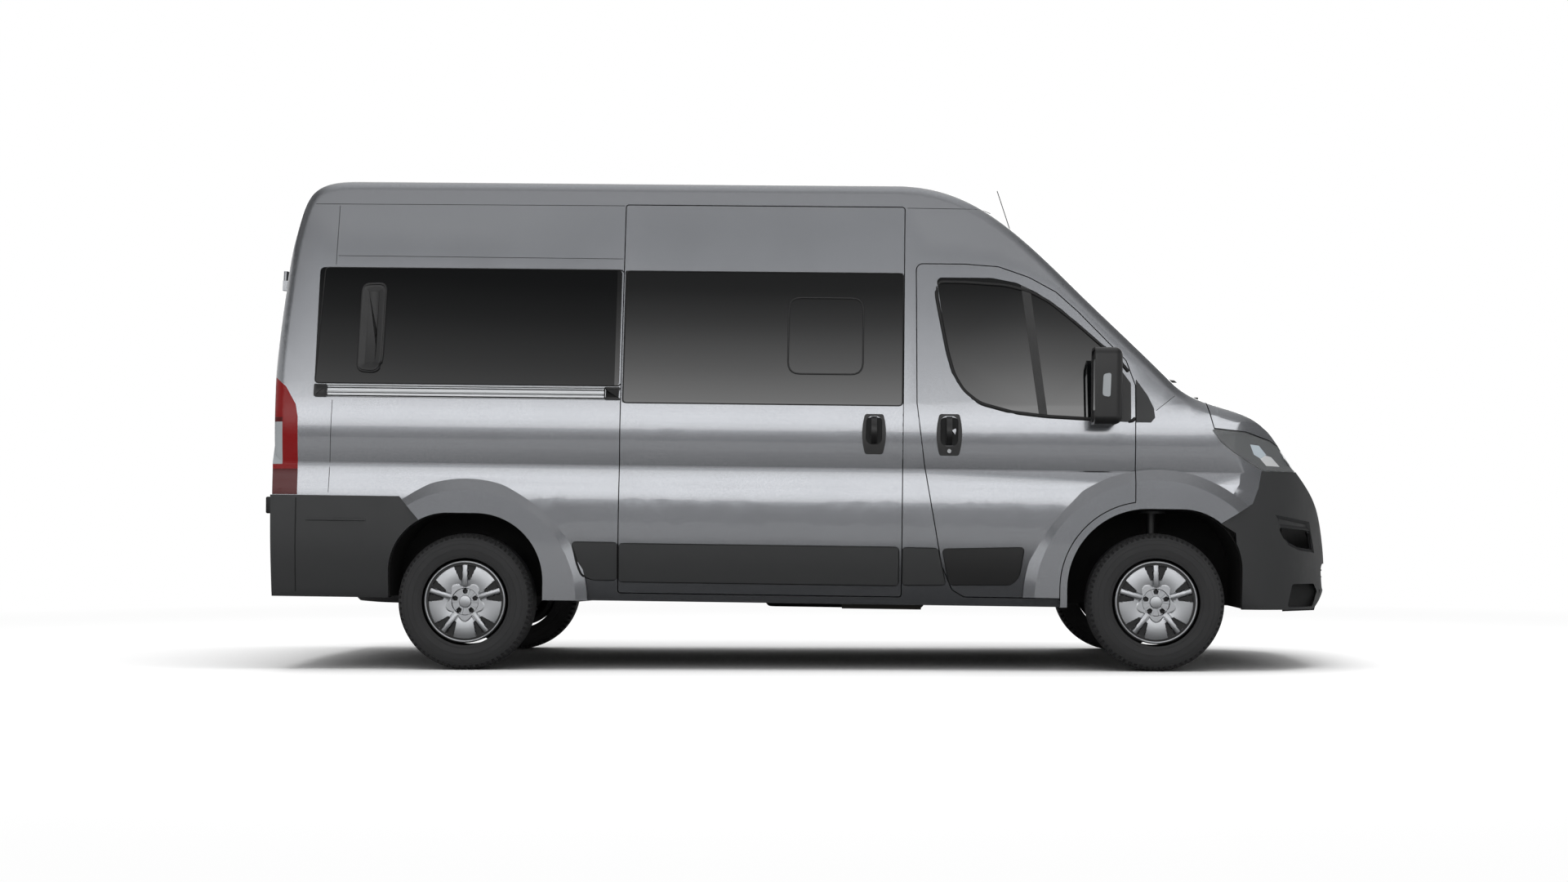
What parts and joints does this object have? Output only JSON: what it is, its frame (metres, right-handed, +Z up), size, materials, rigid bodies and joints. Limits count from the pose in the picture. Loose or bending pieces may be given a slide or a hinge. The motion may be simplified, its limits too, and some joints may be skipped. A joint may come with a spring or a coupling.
{
  "type": "crew van",
  "caption": "Long high-roofed crew van with side windows, sliding side door, twin rear doors, opening cab doors and bonnet, steering front wheels and cab and crew seats",
  "frame": {"origin": "on the ground below the middle of the van's overall length and width", "axes": "+X forward, +Y to the van's left, +Z up"},
  "size_m": [5.4293, 2.508, 2.524],
  "materials": {
    "body_paint": "grey metallic paint",
    "chassis_paint": "black chassis paint",
    "black_plastic": "grained",
    "trim_plastic": "satin",
    "tinted_glass": "dark tint",
    "clear_glass": "clear",
    "lamp_lens": "clear",
    "red_lens": "red lens",
    "cast_iron": "as cast",
    "steel": "bare",
    "silver_rail": "satin",
    "tyre": "rubber",
    "wheel": "silver",
    "seat_fabric": "woven",
    "floor_mat": "matt"
  },
  "bodies": {
    "body": {"floor": "floor_mat", "underframe": "chassis_paint", "rear_frame": "chassis_paint", "front_subframe": "chassis_paint", "rear_axle": "chassis_paint", "engine_block": "cast_iron", "radiator_carrier": "chassis_paint", "fuel_tank": "black_plastic", "exhaust": "steel", "spare_wheel": "tyre", "side_panel_right": "body_paint", "side_panel_left": "body_paint", "roof": "body_paint", "cab_front": "black_plastic", "wings": "body_paint", "front_bumper": "black_plastic", "grille": "black_plastic", "headlamps": "lamp_lens", "windscreen": "clear_glass", "wipers": "black_plastic", "side_windows": "tinted_glass", "sliding_door": "body_paint", "sliding_door_handle": "black_plastic", "slide_rail": "silver_rail", "side_mouldings": "black_plastic", "rear_bumper": "black_plastic", "tail_lamps": "red_lens", "wheel_housings": "black_plastic", "dashboard": "trim_plastic", "cab_seats": "seat_fabric", "crew_bench": "seat_fabric"},
    "steering_wheel": {"steering_wheel": "trim_plastic"},
    "bonnet": {"bonnet": "body_paint"},
    "cab_door_right": {"cab_door_right": "body_paint", "cab_glass_right": "tinted_glass", "cab_trim_right": "black_plastic"},
    "cab_door_left": {"cab_door_left": "body_paint", "cab_glass_left": "tinted_glass", "cab_trim_left": "black_plastic"},
    "rear_door_right": {"rear_door_right": "body_paint", "rear_glass_right": "tinted_glass"},
    "rear_door_left": {"rear_door_left": "body_paint", "rear_glass_left": "tinted_glass"},
    "knuckle_right": {"knuckle_right": "cast_iron"},
    "knuckle_left": {"knuckle_left": "cast_iron"},
    "wheel_front_right": {"tyre_front_right": "tyre", "wheel_front_right": "wheel"},
    "wheel_front_left": {"tyre_front_left": "tyre", "wheel_front_left": "wheel"},
    "wheel_rear_right": {"tyre_rear_right": "tyre", "wheel_rear_right": "wheel"},
    "wheel_rear_left": {"tyre_rear_left": "tyre", "wheel_rear_left": "wheel"}
  },
  "joints": [
    {"name": "bonnet_hinge", "type": "hinge", "parent": "body", "child": "bonnet", "pos_m": [2.00351, 0, 1.4099], "axis": [0, -1, 0], "range_deg": [0, 55]},
    {"name": "cab_door_right_hinge", "type": "hinge", "parent": "body", "child": "cab_door_right", "pos_m": [1.65702, -1.03, 0.87839], "axis": [0.0131, 0, 0.9999], "range_deg": [0, 70]},
    {"name": "cab_door_left_hinge", "type": "hinge", "parent": "body", "child": "cab_door_left", "pos_m": [1.65702, 1.03, 0.87839], "axis": [-0.0131, 0, -0.9999], "range_deg": [0, 70]},
    {"name": "rear_door_right_hinge", "type": "hinge", "parent": "body", "child": "rear_door_right", "pos_m": [-2.70379, -0.82, 0.79796], "axis": [0.0438, 0, 0.999], "range_deg": [0, 180]},
    {"name": "rear_door_left_hinge", "type": "hinge", "parent": "body", "child": "rear_door_left", "pos_m": [-2.70379, 0.82, 0.79796], "axis": [-0.0438, 0, -0.999], "range_deg": [0, 180]},
    {"name": "steer_right", "type": "hinge", "parent": "body", "child": "knuckle_right", "pos_m": [1.7585, -0.8, 0.3415], "axis": [0.0131, 0, 0.9999], "range_deg": [-33, 33]},
    {"name": "steer_left", "type": "hinge", "parent": "body", "child": "knuckle_left", "pos_m": [1.7585, 0.8, 0.3415], "axis": [0.0131, 0, 0.9999], "range_deg": [-33, 33]},
    {"name": "steering_column", "type": "hinge", "parent": "body", "child": "steering_wheel", "pos_m": [1.57846, 0.45, 1.40946], "axis": [-0.5632, 0, 0.8263], "range_deg": [-500, 500]},
    {"name": "roll_front_right", "type": "hinge", "parent": "knuckle_right", "child": "wheel_front_right", "pos_m": [1.7585, -0.905, 0.3415], "axis": [0, 1, 0], "continuous": true},
    {"name": "roll_front_left", "type": "hinge", "parent": "knuckle_left", "child": "wheel_front_left", "pos_m": [1.7585, 0.905, 0.3415], "axis": [0, 1, 0], "continuous": true},
    {"name": "roll_rear_right", "type": "hinge", "parent": "body", "child": "wheel_rear_right", "pos_m": [-1.6915, -0.895, 0.3415], "axis": [0, 1, 0], "continuous": true},
    {"name": "roll_rear_left", "type": "hinge", "parent": "body", "child": "wheel_rear_left", "pos_m": [-1.6915, 0.895, 0.3415], "axis": [0, 1, 0], "continuous": true}
  ],
  "couplings": [
    {"joint": "steer_left", "follows": "steer_right", "ratio": 1},
    {"joint": "steering_column", "follows": "steer_right", "ratio": 15}
  ]
}
